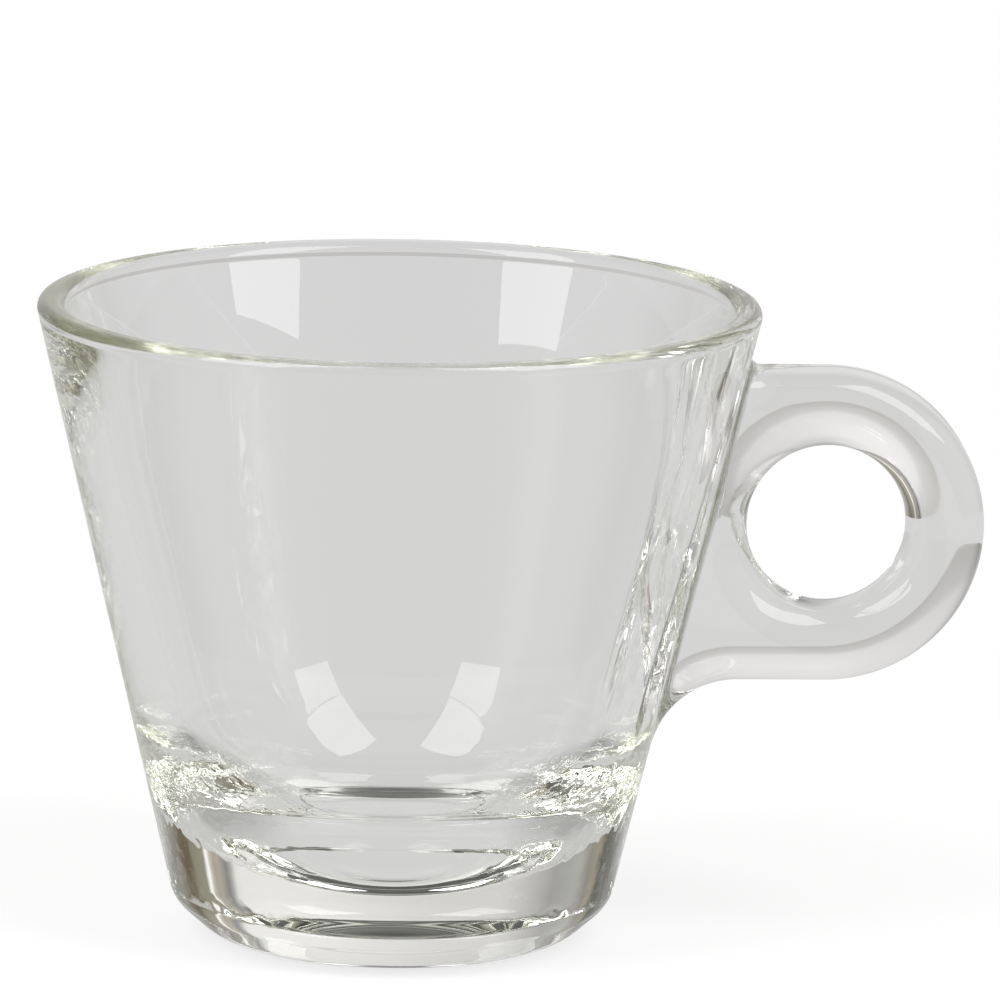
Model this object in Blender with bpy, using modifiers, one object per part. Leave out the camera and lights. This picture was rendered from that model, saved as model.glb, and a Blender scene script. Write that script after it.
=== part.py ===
"""Glass espresso cup: a conical body with a thick rounded floor, and a flat ring handle fused to its wall."""

from math import cos, pi, radians, sin, tan

import bmesh
import bpy

# Cup body, in metres. Leans are measured from the vertical.
HEIGHT = 0.0590
RIM_RADIUS = 0.0330
WALL_AT_RIM = 0.0025
OUTER_LEAN = radians(13.2)
INNER_LEAN = radians(15.6)
FLOOR_HEIGHT = 0.0066
FOOT_CORNER = 0.0061
RECESS_RADIUS = 0.0123
RECESS_DEPTH = 0.0006

# Handle. Its ring is placed by the glass left between wall and hole, and by its height over the table.
HOLE_TO_WALL = 0.0036
RING_Z = 0.0385
RING_RADIUS = 0.0144
FINGER_HOLE_RADIUS = 0.00736
HANDLE_THICKNESS = 0.0086
HANDLE_EDGE = 0.0026
HOLE_BAND = 0.0006
LOWER_ROOT_FILLET = 0.0080
UPPER_ROOT_FILLET = 0.0010

# The fused joint between handle and wall, left open as a thin gap.
JOINT_GAP = 0.0003

# How far a cutter runs past what it cuts.
CUTTER_MARGIN = 0.0040

# Root fillets stop this share of their sweep short of the wall, so that their tips aren't knife edges.
FILLET_TIP = 0.12

# The hole's flare ends a little before it lies flat on the face, so that the two surfaces cross cleanly.
FLARE_END = radians(98)

# Facets of round shapes.
TURN_STEPS = 72
BOWL_STEPS = 12
RIM_STEPS = 12
CORNER_STEPS = 6
RING_STEPS = 40
ROOT_STEPS = 10
EDGE_STEPS = 5
MERGE = 0.00001
SMOOTH_BELOW = radians(35)

RIM_ROUND = WALL_AT_RIM / 2
RIM_MIDDLE = RIM_RADIUS - RIM_ROUND
RIM_CENTRE_Z = HEIGHT - RIM_ROUND


def outer_radius(z):
    """Radius of the outside of the wall at a height, as a straight cone that touches the round of the rim."""
    return RIM_MIDDLE + RIM_ROUND / cos(OUTER_LEAN) + (z - RIM_CENTRE_Z) * tan(OUTER_LEAN)


def inner_radius(z):
    """Radius of the inside of the wall at a height, likewise."""
    return RIM_MIDDLE - RIM_ROUND / cos(INNER_LEAN) + (z - RIM_CENTRE_Z) * tan(INNER_LEAN)


# The ring keeps its place beside the wall, and the hole is rounded on both sides of its narrow middle band.
RING_X = outer_radius(RING_Z) + HOLE_TO_WALL + FINGER_HOLE_RADIUS
HOLE_EDGE = (HANDLE_THICKNESS - HOLE_BAND) / 2

# The origin is the centre of the base of the object's box, so the cup's axis lies to one side of it.
AXIS_X = -(RING_X + RING_RADIUS - RIM_RADIUS) / 2


def arc(centre, radius, start, end, steps):
    """Points on a circle from one angle to another, both ends included."""
    angles = [start + (end - start) * i / steps for i in range(steps + 1)]
    return [(centre[0] + radius * cos(a), centre[1] + radius * sin(a)) for a in angles]


def body_profile():
    """Half section of the cup, from the middle of the floor over the rim to the middle of the foot."""
    bowl_radius = inner_radius(FLOOR_HEIGHT) * cos(INNER_LEAN) / (1 - sin(INNER_LEAN))
    bowl_centre = (0, FLOOR_HEIGHT + bowl_radius)
    bowl = arc(bowl_centre, bowl_radius, -pi / 2, -INNER_LEAN, BOWL_STEPS)
    rim = arc((RIM_MIDDLE, RIM_CENTRE_Z), RIM_ROUND, pi - INNER_LEAN, -OUTER_LEAN, RIM_STEPS)
    corner_centre = (outer_radius(FOOT_CORNER) - FOOT_CORNER / cos(OUTER_LEAN), FOOT_CORNER)
    corner = arc(corner_centre, FOOT_CORNER, -OUTER_LEAN, -pi / 2, CORNER_STEPS)
    recess = [(RECESS_RADIUS, 0), (RECESS_RADIUS - RECESS_DEPTH, RECESS_DEPTH), (0, RECESS_DEPTH)]
    middle = [(0, FLOOR_HEIGHT)]
    return middle + bowl[1:] + rim + corner + recess


def handle_outline():
    """Side outline of the handle. It runs on into the cup, where the wall's own shape cuts it off."""
    top = RING_Z + RING_RADIUS
    bottom = RING_Z - RING_RADIUS
    upper_z = top + UPPER_ROOT_FILLET
    upper_centre = (outer_radius(upper_z) + UPPER_ROOT_FILLET / cos(OUTER_LEAN), upper_z)
    lower_z = bottom - LOWER_ROOT_FILLET
    lower_centre = (outer_radius(lower_z) + LOWER_ROOT_FILLET / cos(OUTER_LEAN), lower_z)
    wall_side = pi - OUTER_LEAN
    up = pi / 2
    down = 3 * pi / 2
    upper_stop = wall_side + (down - wall_side) * FILLET_TIP
    lower_stop = wall_side - (wall_side - up) * FILLET_TIP
    upper = arc(upper_centre, UPPER_ROOT_FILLET, upper_stop, down, ROOT_STEPS)
    ring = arc((RING_X, RING_Z), RING_RADIUS, up, -up, RING_STEPS)
    lower = arc(lower_centre, LOWER_ROOT_FILLET, up, lower_stop, ROOT_STEPS)
    inside = outer_radius(lower_z) - 2 * CUTTER_MARGIN
    return upper + ring + lower + [(inside, lower[-1][1]), (inside, upper[0][1])]


def spool_profile():
    """Half section of the air in the finger hole, narrowest in the middle and flaring out to both faces."""
    half = HANDLE_THICKNESS / 2
    centre = (FINGER_HOLE_RADIUS + HOLE_EDGE, half - HOLE_EDGE)
    flare = arc(centre, HOLE_EDGE, FLARE_END, pi, EDGE_STEPS)
    mirrored = [(r, -z) for r, z in reversed(flare)]
    end = half + CUTTER_MARGIN
    mouth = flare[0][0]
    return [(0, end), (mouth, end)] + flare + mirrored + [(mouth, -end), (0, -end)]


def wall_profile():
    """Half section of a solid cone that stands the joint's gap outside the wall."""
    gap = JOINT_GAP / cos(OUTER_LEAN)
    high = HEIGHT + CUTTER_MARGIN
    low = -CUTTER_MARGIN
    return [(0, high), (outer_radius(high) + gap, high), (outer_radius(low) + gap, low), (0, low)]


def collection(name):
    made = bpy.data.collections.new(name)
    bpy.context.scene.collection.children.link(made)
    return made


def turned(name, profile, home):
    """A solid turned about its own Z from a half section."""
    mesh = bpy.data.meshes.new(name)
    edges = [(i, i + 1) for i in range(len(profile) - 1)]
    mesh.from_pydata([(r, 0, z) for r, z in profile], edges, [])
    made = bpy.data.objects.new(name, mesh)
    home.objects.link(made)
    screw = made.modifiers.new("turn", "SCREW")
    screw.axis = "Z"
    screw.steps = TURN_STEPS
    screw.render_steps = TURN_STEPS
    screw.use_merge_vertices = True
    screw.merge_threshold = MERGE
    screw.use_smooth_shade = True
    return made


def slab(name, outline, home):
    """A flat plate standing in XZ with this outline and rounded edges, as a closed mesh."""
    curve = bpy.data.curves.new(name, "CURVE")
    curve.dimensions = "2D"
    curve.fill_mode = "BOTH"
    curve.extrude = HANDLE_THICKNESS / 2 - HANDLE_EDGE
    curve.bevel_depth = HANDLE_EDGE
    curve.bevel_resolution = EDGE_STEPS - 2
    curve.offset = -HANDLE_EDGE
    spline = curve.splines.new("POLY")
    spline.points.add(len(outline) - 1)
    for point, (x, z) in zip(spline.points, outline):
        point.co = (x, z, 0, 1)
    spline.use_cyclic_u = True
    flat = bpy.data.objects.new(name + "_curve", curve)
    home.objects.link(flat)
    flat.rotation_euler = (pi / 2, 0, 0)
    bpy.context.view_layer.update()
    graph = bpy.context.evaluated_depsgraph_get()
    mesh = bpy.data.meshes.new_from_object(flat.evaluated_get(graph))
    mesh.name = name
    welded = bmesh.new()
    welded.from_mesh(mesh)
    bmesh.ops.remove_doubles(welded, verts=welded.verts[:], dist=MERGE)
    bmesh.ops.recalc_face_normals(welded, faces=welded.faces[:])
    welded.to_mesh(mesh)
    welded.free()
    mesh.shade_smooth()
    mesh.set_sharp_from_angle(angle=SMOOTH_BELOW)
    made = bpy.data.objects.new(name, mesh)
    made.matrix_world = flat.matrix_world.copy()
    home.objects.link(made)
    bpy.data.objects.remove(flat)
    return made


def cut(piece, cutter):
    """Takes the cutter's shape out of a piece."""
    cutter.hide_render = True
    cutter.display_type = "WIRE"
    difference = piece.modifiers.new("cut_" + cutter.name, "BOOLEAN")
    difference.operation = "DIFFERENCE"
    difference.solver = "EXACT"
    difference.object = cutter


def clear_glass(name, colour):
    material = bpy.data.materials.new(name)
    material.use_nodes = True
    shader = material.node_tree.nodes["Principled BSDF"]
    shader.inputs["Base Color"].default_value = (*colour, 1)
    shader.inputs["Metallic"].default_value = 0
    shader.inputs["Roughness"].default_value = 0.03
    shader.inputs["IOR"].default_value = 1.52
    shader.inputs["Transmission Weight"].default_value = 1
    return material


def main():
    for old in list(bpy.data.objects):
        bpy.data.objects.remove(old)
    parts = collection("glass_espresso_cup")
    cutters = collection("cutters")

    axis = bpy.data.objects.new("cup_axis", None)
    axis.location = (AXIS_X, 0, 0)
    parts.objects.link(axis)

    body = turned("cup_body", body_profile(), parts)
    handle = slab("handle", handle_outline(), parts)
    wall_shape = turned("wall_shape", wall_profile(), cutters)
    finger_hole = turned("finger_hole", spool_profile(), cutters)
    finger_hole.location = (RING_X, 0, RING_Z)
    finger_hole.rotation_euler = (pi / 2, 0, 0)
    for piece in (body, handle, wall_shape, finger_hole):
        piece.parent = axis

    cut(handle, wall_shape)
    cut(handle, finger_hole)

    body.data.materials.append(clear_glass("body_glass", (0.93, 0.95, 0.92)))
    handle.data.materials.append(clear_glass("handle_glass", (0.94, 0.95, 0.93)))


main()
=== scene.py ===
"""Looks of the glass espresso cup: clear glass, finely turned, in a pale studio."""

from math import atan2, cos, hypot, pi, radians, sin, tan

import bmesh
import bpy
from mathutils import Matrix, Vector


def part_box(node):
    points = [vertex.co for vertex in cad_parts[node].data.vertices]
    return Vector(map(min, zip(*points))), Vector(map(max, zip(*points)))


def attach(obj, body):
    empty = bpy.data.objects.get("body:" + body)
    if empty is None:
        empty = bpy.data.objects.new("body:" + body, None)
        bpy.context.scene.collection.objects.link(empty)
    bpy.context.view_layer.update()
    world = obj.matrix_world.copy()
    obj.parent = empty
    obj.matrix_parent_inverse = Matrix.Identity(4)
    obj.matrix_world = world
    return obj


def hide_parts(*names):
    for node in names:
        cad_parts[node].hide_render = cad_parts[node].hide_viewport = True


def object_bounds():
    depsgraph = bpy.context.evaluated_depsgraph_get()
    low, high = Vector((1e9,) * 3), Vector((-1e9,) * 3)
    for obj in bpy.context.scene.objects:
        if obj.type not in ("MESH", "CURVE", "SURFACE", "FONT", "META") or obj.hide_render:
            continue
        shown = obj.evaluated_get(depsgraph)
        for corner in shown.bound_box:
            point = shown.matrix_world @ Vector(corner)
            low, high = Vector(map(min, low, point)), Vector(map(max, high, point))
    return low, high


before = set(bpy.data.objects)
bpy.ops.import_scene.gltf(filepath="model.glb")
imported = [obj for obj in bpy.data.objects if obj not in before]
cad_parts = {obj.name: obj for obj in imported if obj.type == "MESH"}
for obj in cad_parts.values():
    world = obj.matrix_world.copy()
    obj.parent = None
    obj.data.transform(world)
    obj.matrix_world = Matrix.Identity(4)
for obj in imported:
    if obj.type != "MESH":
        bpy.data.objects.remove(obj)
cad_low, cad_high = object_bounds()
body_low, body_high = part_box("cup_body")

# Cup body, in metres. Its place, width and height are the solids' own. Leans are measured from the
# vertical.
AXIS_X = (body_low.x + body_high.x) / 2
RIM_RADIUS = (body_high.x - body_low.x) / 2
HEIGHT = body_high.z
WALL_AT_RIM = 0.0025
OUTER_LEAN = radians(13.2)
INNER_LEAN = radians(15.1)
FLOOR_HEIGHT = 0.0066
RECESS_RADIUS = 0.0130
RECESS_DEPTH = 0.0009
RECESS_ROUND = 0.0003

# The recess's side rises at 45 degrees. This is where its round ends.
RECESS_SIDE = -3 * pi / 4

# The rim is flat on top with a round corner on each side. Inside it is set off from the wall by a
# shallow neck, and the wall flares a little below that.
RIM_INNER_ROUND = 0.0012
RIM_OUTER_ROUND = 0.0009
NECK_LEAN = radians(5)
NECK_ROUND = 0.0015
FLARE_LEAN = radians(20.5)
FLARE_LENGTH = 0.0098

# Where the glass is crinkled, inside in the bowl's corner and outside above the foot: from and to
# which height, each with its fade, and how much.
BOWL_CRINKLE = (0.0070, 0.0015, 0.0170, 0.0040, 1.0)
FOOT_CRINKLE = (0.0035, 0.0015, 0.0180, 0.0080, 1.6)

# The crinkles lie to the left and right of the cup, and the rest of the glass there has a faint
# ripple. Front and back stay clear: shares of the radius across, from clear to fully crinkled.
CRINKLE_SIDES = (0.35, 0.80)
LEAST_CRINKLE = 0.04

# The foot turns under in two rounds with a flat bevel between them.
FOOT_ROUND = 0.0035
FOOT_BEVEL = radians(48)
FOOT_BEVEL_LENGTH = 0.00216
FOOT_TOE = 0.0045

# Handle. Its ring is measured from the cup's axis and from the table.
RING_RADIUS = 0.0144
RING_X = cad_high.x - RING_RADIUS - AXIS_X
RING_Z = 0.0385
FINGER_HOLE_RADIUS = 0.00736
HANDLE_THICKNESS = 0.0086
HANDLE_EDGE = 0.0026
HOLE_BAND = 0.0006
LOWER_ROOT_FILLET = 0.0080
UPPER_ROOT_FILLET = 0.0012

# The melted joint of handle and wall: where its fillet starts off the wall, and how far the root
# sinks in.
JOINT_FILLET = 0.0006
JOINT_SINK = 0.00003

# Fineness of the meshes.
TURN_STEPS = 384
BOWL_STEPS = 48
RIM_STEPS = 36
NECK_STEPS = 10
FLARE_STEPS = 24
CORNER_STEPS = 16
WALL_STEPS = 24
BASE_STEPS = 8
RING_STEPS = 144
HOLE_STEPS = 160
ROOT_STEPS = 28
EDGE_STEPS = 14
FILLET_STEPS = 8
SMOOTH_BELOW = radians(38)
ON_SURFACE = 0.00001

# The photo's view: where the camera aims, measured from the cup's axis, how far off it is and how
# it is held, with angles in radians and the lens in millimetres.
VIEW_AIM = Vector((0.00942, 0, 0.04047))
VIEW_DISTANCE = 0.8114
VIEW_ELEVATION = 0.2003
VIEW_TURN = radians(3.0)
VIEW_ROLL = 0.017
VIEW_LENS = 318.6
SENSOR = 36
CLIP_START = 0.01

# Light runs a long way inside the rim and the foot, from side to side.
LIGHT_BOUNCES = 50

RIM_ROUND = WALL_AT_RIM / 2
RIM_MIDDLE = RIM_RADIUS - RIM_ROUND
RIM_CENTRE_Z = HEIGHT - RIM_ROUND


def outer_radius(z):
    """Radius of the outside of the wall at a height."""
    return RIM_MIDDLE + RIM_ROUND / cos(OUTER_LEAN) + (z - RIM_CENTRE_Z) * tan(OUTER_LEAN)


def on_circle(centre, radius, angle):
    """The point of a circle at an angle."""
    return (centre[0] + radius * cos(angle), centre[1] + radius * sin(angle))


def arc(centre, radius, start, end, steps):
    """Points on a circle from one angle to another, both ends included."""
    angles = [start + (end - start) * i / steps for i in range(steps + 1)]
    return [on_circle(centre, radius, a) for a in angles]


def run(start, end, steps):
    """Points inside a straight stretch, without its ends."""
    (x, y), (end_x, end_y) = start, end
    shares = [i / steps for i in range(1, steps)]
    return [(x + (end_x - x) * s, y + (end_y - y) * s) for s in shares]


def new_object(name, mesh):
    """An object in the scene from a finished bmesh, smooth where its faces meet gently."""
    bmesh.ops.recalc_face_normals(mesh, faces=mesh.faces[:])
    data = bpy.data.meshes.new(name)
    mesh.to_mesh(data)
    mesh.free()
    data.shade_smooth()
    data.set_sharp_from_angle(angle=SMOOTH_BELOW)
    made = bpy.data.objects.new(name, data)
    bpy.context.scene.collection.objects.link(made)
    return made


def loft(mesh, loops):
    """Quads between closed loops of as many points each."""
    for low, high in zip(loops, loops[1:]):
        for i in range(len(low)):
            mesh.faces.new((low[i - 1], low[i], high[i], high[i - 1]))


def turned(name, profile, crinkles=None):
    """A closed solid turned about the cup's axis from a half section that starts and ends there."""
    mesh = bmesh.new()
    crinkle = mesh.verts.layers.float.new("crinkle")
    turns = [2 * pi * i / TURN_STEPS for i in range(TURN_STEPS)]
    loops = []
    for r, z in profile[1:-1]:
        loops.append([mesh.verts.new((AXIS_X + r * cos(t), r * sin(t), z)) for t in turns])
    loft(mesh, loops)
    near, far = CRINKLE_SIDES
    for loop, share in zip(loops, crinkles or []):
        for vert, turn in zip(loop, turns):
            aside = min(max((abs(cos(turn)) - near) / (far - near), 0), 1)
            vert[crinkle] = max(share, LEAST_CRINKLE) * aside
    for (_, z), loop in ((profile[0], loops[0]), (profile[-1], loops[-1])):
        middle = mesh.verts.new((AXIS_X, 0, z))
        for i in range(TURN_STEPS):
            mesh.faces.new((loop[i - 1], loop[i], middle))
    return new_object(name, mesh)


def mouth_profile():
    """Half section of the upper inside and the rim, from below the flare to the outside wall."""
    inner_centre = (RIM_RADIUS - WALL_AT_RIM + RIM_INNER_ROUND, HEIGHT - RIM_INNER_ROUND)
    outer_z = HEIGHT - RIM_OUTER_ROUND
    outer_centre = (outer_radius(outer_z) - RIM_OUTER_ROUND / cos(OUTER_LEAN), outer_z)
    inner = arc(inner_centre, RIM_INNER_ROUND, pi - NECK_LEAN, pi / 2, RIM_STEPS)
    outer = arc(outer_centre, RIM_OUTER_ROUND, pi / 2, -OUTER_LEAN, RIM_STEPS)
    rim = inner + run(inner[-1], outer[0], BASE_STEPS) + outer
    neck_centre = on_circle(rim[0], NECK_ROUND, pi - NECK_LEAN)
    neck = arc(neck_centre, NECK_ROUND, -FLARE_LEAN, -NECK_LEAN, NECK_STEPS)
    flare_radius = FLARE_LENGTH / (FLARE_LEAN - INNER_LEAN)
    flare_centre = on_circle(neck[0], flare_radius, -FLARE_LEAN)
    flare = arc(flare_centre, flare_radius, pi - INNER_LEAN, pi - FLARE_LEAN, FLARE_STEPS)
    return flare[:-1] + neck[:-1] + rim


def foot_profile():
    """Half section of the foot's edge, from the outside wall to the flat it stands on."""
    bevel_drop = FOOT_BEVEL_LENGTH * cos(FOOT_BEVEL)
    toe_drop = FOOT_TOE * (1 - sin(FOOT_BEVEL))
    top_z = FOOT_ROUND * (sin(FOOT_BEVEL) - sin(OUTER_LEAN)) + bevel_drop + toe_drop
    centre = on_circle((outer_radius(top_z), top_z), FOOT_ROUND, pi - OUTER_LEAN)
    upper = arc(centre, FOOT_ROUND, -OUTER_LEAN, -FOOT_BEVEL, CORNER_STEPS)
    bevel_end = (upper[-1][0] - FOOT_BEVEL_LENGTH * sin(FOOT_BEVEL), upper[-1][1] - bevel_drop)
    toe_centre = on_circle(bevel_end, FOOT_TOE, pi - FOOT_BEVEL)
    toe = arc(toe_centre, FOOT_TOE, -FOOT_BEVEL, -pi / 2, CORNER_STEPS)
    return upper + run(upper[-1], bevel_end, BASE_STEPS) + toe


def body_profile():
    """Half section of the cup, from mid-floor over the rim to the middle of the foot."""
    mouth = mouth_profile()
    wall_foot = mouth[0][0] - (mouth[0][1] - FLOOR_HEIGHT) * tan(INNER_LEAN)
    bowl_radius = wall_foot * cos(INNER_LEAN) / (1 - sin(INNER_LEAN))
    bowl = arc((0, FLOOR_HEIGHT + bowl_radius), bowl_radius, -pi / 2, -INNER_LEAN, BOWL_STEPS)
    foot = foot_profile()
    lip = arc((RECESS_RADIUS, RECESS_ROUND), RECESS_ROUND, -pi / 2, RECESS_SIDE, BASE_STEPS)
    ceiling = (lip[-1][0] - RECESS_DEPTH + lip[-1][1], RECESS_DEPTH)
    middle = (0, RECESS_DEPTH)
    inside = run(bowl[-1], mouth[0], BASE_STEPS)
    outside = run(mouth[-1], foot[0], WALL_STEPS)
    underside = lip + [ceiling] + run(ceiling, middle, BASE_STEPS) + [middle]
    return [(0, FLOOR_HEIGHT)] + bowl[1:] + inside + mouth + outside + foot + underside


def crinkle_shares(profile):
    """How crinkled the glass is at each ring of the section between its ends."""
    top = max(range(len(profile)), key=lambda i: profile[i][1])
    shares = []
    for number, (_, z) in enumerate(profile[1:-1], 1):
        low, rise, high, fall, most = BOWL_CRINKLE if number < top else FOOT_CRINKLE
        rising = min(max((z - low) / rise, 0), 1)
        falling = min(max((high - z) / fall, 0), 1)
        shares.append(most * rising * falling)
    return shares


def handle_outline():
    """Side outline of the handle as points with outward directions.

    It runs on into the cup and turns round there.
    """
    top = RING_Z + RING_RADIUS
    bottom = RING_Z - RING_RADIUS
    wall_side = pi - OUTER_LEAN
    upper_z = top + UPPER_ROOT_FILLET
    upper = Vector((outer_radius(upper_z) + UPPER_ROOT_FILLET / cos(OUTER_LEAN), upper_z))
    lower_z = bottom - LOWER_ROOT_FILLET
    lower = Vector((outer_radius(lower_z) + LOWER_ROOT_FILLET / cos(OUTER_LEAN), lower_z))
    from_wall = Vector((cos(OUTER_LEAN), -sin(OUTER_LEAN)))
    inner_round = 2 * HANDLE_EDGE
    upper_inner = upper - from_wall * (UPPER_ROOT_FILLET + inner_round)
    lower_inner = lower - from_wall * (LOWER_ROOT_FILLET + inner_round)
    stretches = (
        (Vector((RING_X, RING_Z)), RING_RADIUS, pi / 2, -pi / 2, RING_STEPS, 1),
        (lower, LOWER_ROOT_FILLET, pi / 2, wall_side, ROOT_STEPS, -1),
        (lower_inner, inner_round, -OUTER_LEAN, -pi, ROOT_STEPS, 1),
        (upper_inner, inner_round, pi, -OUTER_LEAN, ROOT_STEPS, 1),
        (upper, UPPER_ROOT_FILLET, wall_side, 3 * pi / 2, ROOT_STEPS, -1),
    )
    outline = []
    for centre, radius, start, end, steps, sense in stretches:
        for point in arc(centre, radius, start, end, steps):
            away = (Vector(point) - centre).normalized() * sense
            if not outline or (Vector(point) - outline[-1][0]).length > ON_SURFACE:
                outline.append((Vector(point), away))
    return outline


def handle_slab():
    """The handle before its root is shaped: a plate with rounded edges and a rounder hole."""
    mesh = bmesh.new()
    half = HANDLE_THICKNESS / 2
    outline = handle_outline()
    hole_edge = (HANDLE_THICKNESS - HOLE_BAND) / 2

    def edge_loop(inset, y):
        points = [point - away * inset for point, away in outline]
        return [mesh.verts.new((AXIS_X + p.x, y, p.y)) for p in points]

    def hole_loop(radius, y):
        points = arc((AXIS_X + RING_X, RING_Z), radius, 0, 2 * pi, HOLE_STEPS)[1:]
        return [mesh.verts.new((x, y, z)) for x, z in points]

    edge_arc = arc((0, 0), HANDLE_EDGE, pi / 2, 0, EDGE_STEPS)
    edge_front = [(HANDLE_EDGE - r, half - HANDLE_EDGE + y) for r, y in edge_arc]
    hole_arc = arc((0, 0), hole_edge, pi / 2, 0, EDGE_STEPS)
    hole_middle = FINGER_HOLE_RADIUS + hole_edge
    hole_front = [(hole_middle - r, half - hole_edge + y) for r, y in hole_arc]
    edge = edge_front + [(inset, -y) for inset, y in reversed(edge_front)]
    hole = hole_front + [(radius, -y) for radius, y in reversed(hole_front)]
    edge_loops = [edge_loop(inset, -y) for inset, y in edge]
    hole_loops = [hole_loop(radius, -y) for radius, y in hole]
    loft(mesh, edge_loops)
    loft(mesh, hole_loops)
    for side in (0, -1):
        borders = []
        for loop in (edge_loops[side], hole_loops[side]):
            borders += [mesh.edges.get((loop[i - 1], loop[i])) for i in range(len(loop))]
        bmesh.ops.triangle_fill(mesh, edges=borders, use_beauty=True)
    return new_object("handle_slab", mesh)


def wall_cone():
    """A solid cone that stands the fillet's height outside the wall."""
    gap = JOINT_FILLET / cos(OUTER_LEAN)
    high = HEIGHT + RING_RADIUS
    low = -RING_RADIUS
    side = [(outer_radius(z) + gap, z) for z in (high, low)]
    return turned("wall_cone", [(0, high)] + side + [(0, low)])


def off_wall(point):
    """How far a point is off the outside of the wall, and the direction away from it there."""
    x = point.x - AXIS_X
    r = hypot(x, point.y)
    away = Vector((x / r * cos(OUTER_LEAN), point.y / r * cos(OUTER_LEAN), -sin(OUTER_LEAN)))
    return (r - outer_radius(point.z)) * cos(OUTER_LEAN), away


def evaluated(piece):
    """A piece's mesh with its modifiers applied, as a new bmesh."""
    bpy.context.view_layer.update()
    graph = bpy.context.evaluated_depsgraph_get()
    data = bpy.data.meshes.new_from_object(piece.evaluated_get(graph))
    mesh = bmesh.new()
    mesh.from_mesh(data)
    bpy.data.meshes.remove(data)
    return mesh


def make_handle():
    """The slab cut along the wall, with its root flowing on to the wall in a tangent fillet."""
    slab = handle_slab()
    cone = wall_cone()
    cut = slab.modifiers.new("root", "BOOLEAN")
    cut.operation = "DIFFERENCE"
    cut.solver = "EXACT"
    cut.object = cone
    mesh = evaluated(slab)
    bpy.data.objects.remove(slab)
    bpy.data.objects.remove(cone)

    def on_cut(face):
        return all(abs(off_wall(v.co)[0] - JOINT_FILLET) < ON_SURFACE for v in face.verts)

    root = [f for f in mesh.faces if on_cut(f)]
    inside = set(root)
    flow = {}
    for vert in {v for f in root for v in f.verts}:
        sides = [f for f in vert.link_faces if f not in inside]
        if sides:
            side = sum((f.normal * f.calc_area() for f in sides), Vector()).normalized()
            away = off_wall(vert.co)[1]
            lateral = (side - away * side.dot(away)).normalized()
            lean = side.dot(away)
            flow[vert] = (vert.co.copy(), lateral, lean)

    for step in range(1, FILLET_STEPS + 2):
        made = bmesh.ops.extrude_face_region(mesh, geom=root)["geom"]
        bmesh.ops.delete(mesh, geom=[f for f in root if f.is_valid], context="FACES_ONLY")
        root = [g for g in made if isinstance(g, bmesh.types.BMFace)]
        moved = [g for g in made if isinstance(g, bmesh.types.BMVert)]
        onward = {}
        share = min(step / FILLET_STEPS, 1)
        for vert in moved:
            others = [edge.other_vert(vert) for edge in vert.link_edges]
            origin = next((other for other in others if other in flow), None)
            height = JOINT_FILLET * (1 - share)
            if origin:
                start, lateral, lean = flow[origin]
                radius = JOINT_FILLET / (1 - lean)
                begin = atan2(lean, (1 - lean * lean) ** 0.5)
                turn = begin + (pi / 2 - begin) * share
                vert.co = start + lateral * radius * (cos(begin) - cos(turn))
                height = radius * (1 - sin(turn))
                onward[vert] = flow[origin]
            if step > FILLET_STEPS:
                height = -JOINT_SINK
            distance, away = off_wall(vert.co)
            vert.co += away * (height - distance)
        flow = onward
    return new_object("handle_glass_piece", mesh)


def setup_camera():
    """The photo's view: a long lens a little above the rim, turned slightly round the cup."""
    turn = Matrix.Rotation(-VIEW_TURN, 3, "Z")
    back = turn @ Vector((0, -cos(VIEW_ELEVATION), sin(VIEW_ELEVATION)))
    right = turn @ Vector((1, 0, 0))
    up = back.cross(right)
    held_right = right * cos(VIEW_ROLL) + up * sin(VIEW_ROLL)
    held_up = up * cos(VIEW_ROLL) - right * sin(VIEW_ROLL)
    place = Vector((AXIS_X, 0, 0)) + turn @ VIEW_AIM + back * VIEW_DISTANCE
    data = bpy.data.cameras.new("photo_view")
    data.sensor_width = SENSOR
    data.lens = VIEW_LENS
    data.clip_start = CLIP_START
    camera = bpy.data.objects.new("photo_view", data)
    bpy.context.scene.collection.objects.link(camera)
    held = Matrix((held_right, held_up, back)).transposed()
    camera.matrix_world = Matrix.Translation(place) @ held.to_4x4()
    bpy.context.scene.camera = camera


def add_node(tree, kind, **values):
    """A shader node with values on its sockets, whose names have underscores for spaces."""
    made = tree.nodes.new("ShaderNode" + kind)
    for name, value in values.items():
        made.inputs[name.replace("_", " ")].default_value = value
    return made


def new_material(name):
    """A material with nothing but its output: the material, its node tree and that output."""
    material = bpy.data.materials.new(name)
    material.use_nodes = True
    material.node_tree.nodes.clear()
    output = material.node_tree.nodes.new("ShaderNodeOutputMaterial")
    return material, material.node_tree, output


def feed(tree, socket, source):
    """Links a socket to another one, or gives it a plain value."""
    if isinstance(source, bpy.types.NodeSocket):
        tree.links.new(source, socket)
    else:
        socket.default_value = source


def math_node(tree, operation, *sources):
    """A Math node's output from sockets and plain numbers."""
    made = tree.nodes.new("ShaderNodeMath")
    made.operation = operation
    for socket, source in zip(made.inputs, sources):
        feed(tree, socket, source)
    return made.outputs[0]


# Sockets of a Mix node that mixes colours. Other sockets of it have the same names.
MIX_SHARE = 0
MIX_FIRST = 6
MIX_SECOND = 7
MIXED = 2


def mix_node(tree, share, first, second, blend="MIX"):
    """A colour Mix node's output from sockets and plain colours."""
    made = tree.nodes.new("ShaderNodeMix")
    made.data_type = "RGBA"
    made.blend_type = blend
    for number, source in ((MIX_SHARE, share), (MIX_FIRST, first), (MIX_SECOND, second)):
        feed(tree, made.inputs[number], source)
    return made.outputs[MIXED]


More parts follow.
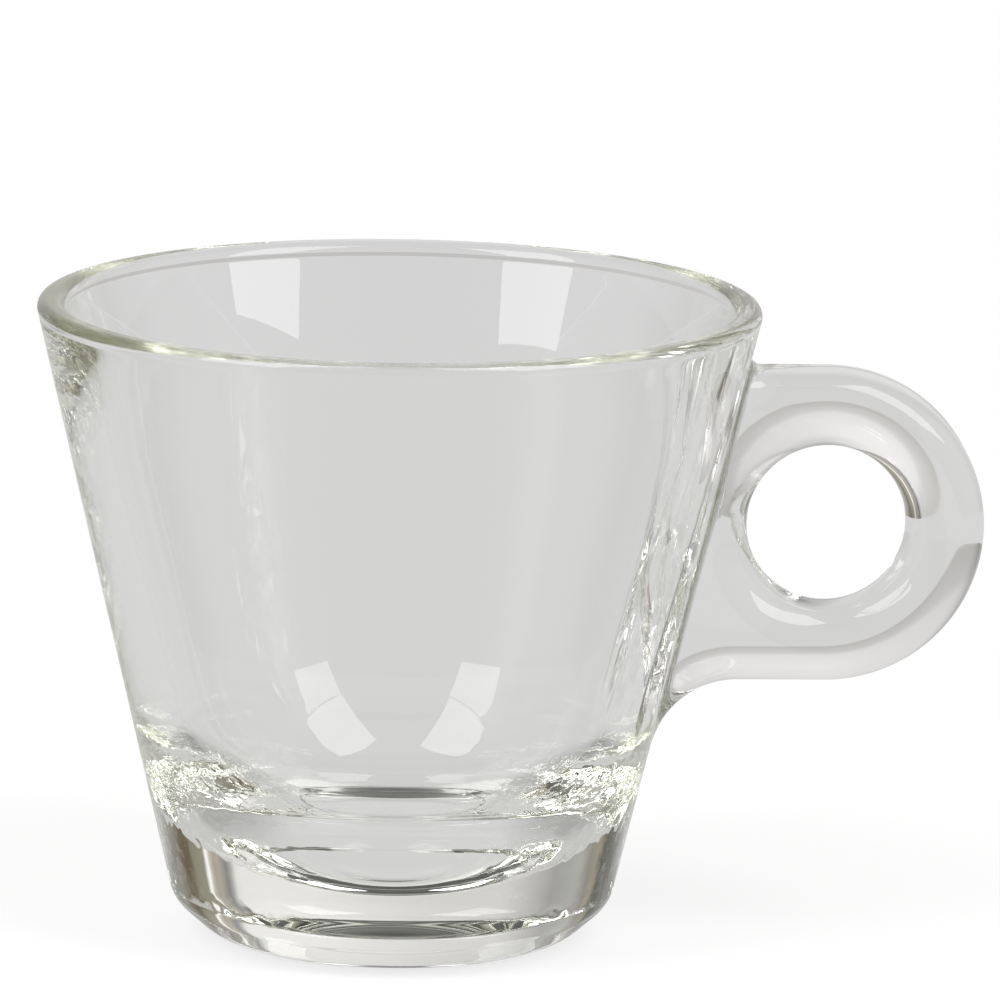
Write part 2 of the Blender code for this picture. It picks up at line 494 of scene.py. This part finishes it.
def ramp_node(tree, source, low, high, stops):
    """Colours by a value: stops are values between low and high, each with a grey or a colour."""
    share = add_node(tree, "MapRange", From_Min=low, From_Max=high)
    tree.links.new(source, share.inputs["Value"])
    made = tree.nodes.new("ShaderNodeValToRGB")
    tree.links.new(share.outputs[0], made.inputs[0])
    elements = made.color_ramp.elements
    elements.remove(elements[0])
    for number, (value, tone) in enumerate(stops):
        position = (value - low) / (high - low)
        element = elements[0] if number == 0 else elements.new(position)
        element.position = position
        element.color = (*tone, 1) if isinstance(tone, tuple) else (tone, tone, tone, 1)
    return made.outputs[0]


# The glass: its tint shows in depth, per metre. Slow waves set in beside the handle, from one X to
# another, and the crinkles follow the mesh. Heights are in metres, scales in waves to a metre.
GLASS_IOR = 1.52
GLASS_TINT = (0.725, 0.745, 0.59, 1)
GLASS_DENSITY = 7
WAVE_SCALE = 60
WAVE_HEIGHT = 0.000010
WAVES_BY_HANDLE = (0.004, 0.016)
CRINKLE_SCALE = 520
CRINKLE_HEIGHT = 0.00008


def clear_glass(name):
    """Clear pressed glass with an olive tint in depth, slow waves and crinkles in its surface."""
    material, tree, output = new_material(name)
    shader = add_node(tree, "BsdfPrincipled", Base_Color=(1, 1, 1, 1), Roughness=0, IOR=GLASS_IOR)
    shader.inputs["Transmission Weight"].default_value = 1
    depth = add_node(tree, "VolumeAbsorption", Color=GLASS_TINT, Density=GLASS_DENSITY)
    place = add_node(tree, "TexCoord")
    axes = add_node(tree, "SeparateXYZ")
    tree.links.new(place.outputs["Object"], axes.inputs[0])
    near = add_node(tree, "MapRange", From_Min=WAVES_BY_HANDLE[0], From_Max=WAVES_BY_HANDLE[1])
    near.interpolation_type = "SMOOTHSTEP"
    tree.links.new(axes.outputs["X"], near.inputs["Value"])
    waves = add_node(tree, "TexNoise", Scale=WAVE_SCALE, Detail=1)
    tree.links.new(place.outputs["Object"], waves.inputs["Vector"])
    crinkles = add_node(tree, "TexNoise", Scale=CRINKLE_SCALE, Detail=1)
    tree.links.new(place.outputs["Object"], crinkles.inputs["Vector"])
    share = tree.nodes.new("ShaderNodeAttribute")
    share.attribute_name = "crinkle"
    wavy = math_node(tree, "MULTIPLY", waves.outputs["Fac"], near.outputs[0])
    slow = math_node(tree, "MULTIPLY", wavy, WAVE_HEIGHT)
    crinkled = math_node(tree, "MULTIPLY", crinkles.outputs["Fac"], share.outputs["Fac"])
    quick = math_node(tree, "MULTIPLY", crinkled, CRINKLE_HEIGHT)
    bump = add_node(tree, "Bump", Strength=1, Distance=1)
    tree.links.new(math_node(tree, "ADD", slow, quick), bump.inputs["Height"])
    tree.links.new(bump.outputs["Normal"], shader.inputs["Normal"])
    tree.links.new(shader.outputs["BSDF"], output.inputs["Surface"])
    tree.links.new(depth.outputs["Volume"], output.inputs["Volume"])
    return material


# The table is a disc just under the foot. To the eye it is pale with the cup's shadow, and fades
# into white from one distance to another. In the glass it shows a painted shadow, a dark spot on
# each side of the cup, with tones by the distance from the spot.
FLOOR_RADIUS = 0.14
FLOOR_STEPS = 96
FLOOR_GAP = 0.00005
FLOOR_GLOW = 0.80
FLOOR_COLOUR = (0.33, 0.33, 0.33, 1)
SHADOW_FADE = (0.07, 0.135)
PAINTED_SIDE_SHADOW = (0.033, 0.003, 0)
PAINTED_SIDE_SHADOW_TONES = ((0, 0.24), (0.009, 0.27), (0.021, 0.685), (FLOOR_RADIUS, 0.685))


def make_floor():
    """A pale table: white with a soft shadow to the eye, grey with painted shadows in the glass."""
    mesh = bmesh.new()
    edge = arc((AXIS_X, 0), FLOOR_RADIUS, 0, 2 * pi, FLOOR_STEPS)[1:]
    mesh.faces.new([mesh.verts.new((x, y, -FLOOR_GAP)) for x, y in edge])
    floor = new_object("floor", mesh)
    material, tree, output = new_material("pale_floor")
    place = add_node(tree, "TexCoord")
    from_axis = add_node(tree, "VectorMath")
    from_axis.operation = "SUBTRACT"
    from_axis.inputs[1].default_value = (AXIS_X, 0, 0)
    tree.links.new(place.outputs["Object"], from_axis.inputs[0])
    reach = add_node(tree, "VectorMath")
    reach.operation = "LENGTH"
    tree.links.new(from_axis.outputs["Vector"], reach.inputs[0])
    fade = add_node(tree, "MapRange", From_Min=SHADOW_FADE[0], From_Max=SHADOW_FADE[1])
    fade.interpolation_type = "SMOOTHSTEP"
    tree.links.new(reach.outputs["Value"], fade.inputs["Value"])
    white = add_node(tree, "Emission", Color=(1, 1, 1, 1))
    glow = add_node(tree, "Emission", Color=(1, 1, 1, 1), Strength=FLOOR_GLOW)
    cloth = add_node(tree, "BsdfDiffuse", Color=FLOOR_COLOUR)
    lit = add_node(tree, "AddShader")
    tree.links.new(glow.outputs[0], lit.inputs[0])
    tree.links.new(cloth.outputs[0], lit.inputs[1])
    seen = add_node(tree, "MixShader")
    tree.links.new(fade.outputs[0], seen.inputs[0])
    tree.links.new(lit.outputs[0], seen.inputs[1])
    tree.links.new(white.outputs[0], seen.inputs[2])
    # Painted shadow: two dark spots on the table, left and right of the cup, that only the glass
    # sees.
    mirrored = add_node(tree, "VectorMath")
    mirrored.operation = "ABSOLUTE"
    tree.links.new(from_axis.outputs["Vector"], mirrored.inputs[0])
    from_painted_shadow = add_node(tree, "VectorMath")
    from_painted_shadow.operation = "DISTANCE"
    from_painted_shadow.inputs[1].default_value = PAINTED_SIDE_SHADOW
    tree.links.new(mirrored.outputs["Vector"], from_painted_shadow.inputs[0])
    through = add_node(tree, "Emission")
    table_and_painted_shadow = ramp_node(tree, from_painted_shadow.outputs["Value"], 0, FLOOR_RADIUS, PAINTED_SIDE_SHADOW_TONES)
    tree.links.new(table_and_painted_shadow, through.inputs["Color"])
    path = add_node(tree, "LightPath")
    final = add_node(tree, "MixShader")
    tree.links.new(path.outputs["Is Camera Ray"], final.inputs[0])
    tree.links.new(through.outputs[0], final.inputs[1])
    tree.links.new(seen.outputs[0], final.inputs[2])
    tree.links.new(final.outputs[0], output.inputs["Surface"])
    floor.data.materials.append(material)


# The studio by height: table to its far edge, then the backdrop, fading into a dim ceiling. Degrees
# over the horizon.
HEIGHT_TONES = (
    (-90, 0.685),
    (-9.9, 0.685),
    (-9.5, (0.58, 0.565, 0.55)),
    (-6, (0.64, 0.63, 0.62)),
    (-4, (0.67, 0.66, 0.655)),
    (-2, (0.75, 0.735, 0.73)),
    (0, (0.85, 0.835, 0.83)),
    (5, (0.90, 0.88, 0.88)),
    (12, (0.925, 0.905, 0.905)),
    (25, (0.925, 0.91, 0.905)),
    (35, (0.82, 0.81, 0.80)),
    (42, 0.72),
    (50, 0.42),
    (56, 0.14),
    (62, 0.09),
    (90, 0.07),
)

# The backdrop across, as shares of its full light. Degrees from straight behind the cup towards the
# handle.
ROUND_TONES = (
    (-180, 0.36),
    (-135, 0.42),
    (-118, 0.57),
    (-82, 0.64),
    (-74, 0.40),
    (-66, (0.27, 0.27, 0.26)),
    (-55, (0.13, 0.13, 0.11)),
    (-52, (0.11, 0.105, 0.08)),
    (-49, (0.42, 0.38, 0.28)),
    (-45, (0.34, 0.32, 0.29)),
    (-40, (0.52, 0.53, 0.50)),
    (-31, 0.42),
    (-18, 0.78),
    (-4, 0.84),
    (16, 1.0),
    (33.5, 1.0),
    (35, 0.52),
    (37, 0.22),
    (38.6, (0.54, 0.50, 0.44)),
    (42, (0.46, 0.42, 0.34)),
    (42.8, 1.35),
    (43.6, 1.35),
    (44.4, (0.36, 0.35, 0.27)),
    (50, (0.30, 0.29, 0.21)),
    (53, (0.14, 0.10, 0.045)),
    (57, (0.14, 0.10, 0.045)),
    (60, (0.27, 0.25, 0.18)),
    (69, (0.34, 0.34, 0.32)),
    (75, 0.40),
    (82, 0.64),
    (118, 0.57),
    (180, 0.36),
)

# Between which heights the backdrop's shares count, in degrees. To the sides the table reaches
# further: its edge there lies at this share of its drop below the horizon.
TABLE_EDGE = -9.7
TABLE_SIDES = 0.5
CEILING_FROM = 62


def make_world():
    """A studio all round: a pale backdrop between darker sides, a grey table; white to the eye."""
    world = bpy.data.worlds.new("studio")
    bpy.context.scene.world = world
    world.use_nodes = True
    tree = world.node_tree
    tree.nodes.clear()
    output = tree.nodes.new("ShaderNodeOutputWorld")
    shade = add_node(tree, "Background")
    direction = add_node(tree, "TexCoord")
    axes = add_node(tree, "SeparateXYZ")
    tree.links.new(direction.outputs["Generated"], axes.inputs[0])
    turn = math_node(tree, "ARCTAN2", axes.outputs["X"], axes.outputs["Y"])
    around = math_node(tree, "DEGREES", turn)
    sideways = math_node(tree, "MULTIPLY", axes.outputs["X"], TABLE_SIDES)
    across = math_node(tree, "MULTIPLY", sideways, sideways)
    squares = math_node(tree, "MULTIPLY_ADD", axes.outputs["Y"], axes.outputs["Y"], across)
    below = math_node(tree, "ARCTAN2", axes.outputs["Z"], math_node(tree, "SQRT", squares))
    above = math_node(tree, "ARCSINE", axes.outputs["Z"])
    height = math_node(tree, "DEGREES", math_node(tree, "MINIMUM", above, below))
    by_height = ramp_node(tree, height, -90, 90, HEIGHT_TONES)
    by_turn = ramp_node(tree, around, -180, 180, ROUND_TONES)
    above_table = math_node(tree, "GREATER_THAN", height, TABLE_EDGE)
    below_ceiling = math_node(tree, "LESS_THAN", height, CEILING_FROM)
    backdrop = math_node(tree, "MULTIPLY", above_table, below_ceiling)
    room = mix_node(tree, backdrop, by_height, mix_node(tree, 1, by_height, by_turn, "MULTIPLY"))
    path = add_node(tree, "LightPath")
    seen = mix_node(tree, path.outputs["Is Camera Ray"], room, (1, 1, 1, 1))
    tree.links.new(seen, shade.inputs["Color"])
    tree.links.new(shade.outputs[0], output.inputs["Surface"])


# Soft boxes of one size at one distance, each with its azimuth from the camera's side towards the
# handle, its elevation and its roll.
BOX_DISTANCE = 1.0
BOX_WIDTH = 0.46
BOX_HEIGHT = 0.90
BOXES = ((radians(51), radians(46.5), 0), (radians(-59), radians(44.5), radians(10)))
BOX_RADIANCE = 3.5


def make_lights():
    """Soft boxes on both sides of the camera, which doesn't see them itself."""
    cup = Vector((AXIS_X, 0, HEIGHT / 2))
    for number, (azimuth, elevation, roll) in enumerate(BOXES):
        data = bpy.data.lights.new(f"soft_box_{number}", "AREA")
        data.shape = "RECTANGLE"
        data.size = BOX_WIDTH
        data.size_y = BOX_HEIGHT
        data.energy = BOX_RADIANCE * pi * BOX_WIDTH * BOX_HEIGHT
        box = bpy.data.objects.new(data.name, data)
        bpy.context.scene.collection.objects.link(box)
        flat = cos(elevation)
        toward = Vector((sin(azimuth) * flat, -cos(azimuth) * flat, sin(elevation)))
        aim = (-toward).to_track_quat("-Z", "Y").to_matrix() @ Matrix.Rotation(roll, 3, "Z")
        box.matrix_world = Matrix.Translation(cup + toward * BOX_DISTANCE) @ aim.to_4x4()
        box.visible_camera = False


def main():
    scene = bpy.context.scene
    scene.view_settings.view_transform = "Standard"
    scene.cycles.max_bounces = LIGHT_BOUNCES
    scene.cycles.transmission_bounces = LIGHT_BOUNCES
    scene.cycles.glossy_bounces = LIGHT_BOUNCES
    scene.cycles.caustics_reflective = False
    scene.cycles.caustics_refractive = False
    setup_camera()
    profile = body_profile()
    body = turned("cup_glass", profile, crinkle_shares(profile))
    body.data.materials.append(clear_glass("body_glass"))
    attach(body, "root")
    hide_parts("cup_body")
    handle = make_handle()
    handle.data.materials.append(clear_glass("handle_glass"))
    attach(handle, "root")
    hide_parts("handle")
    make_floor()
    make_world()
    make_lights()


main()
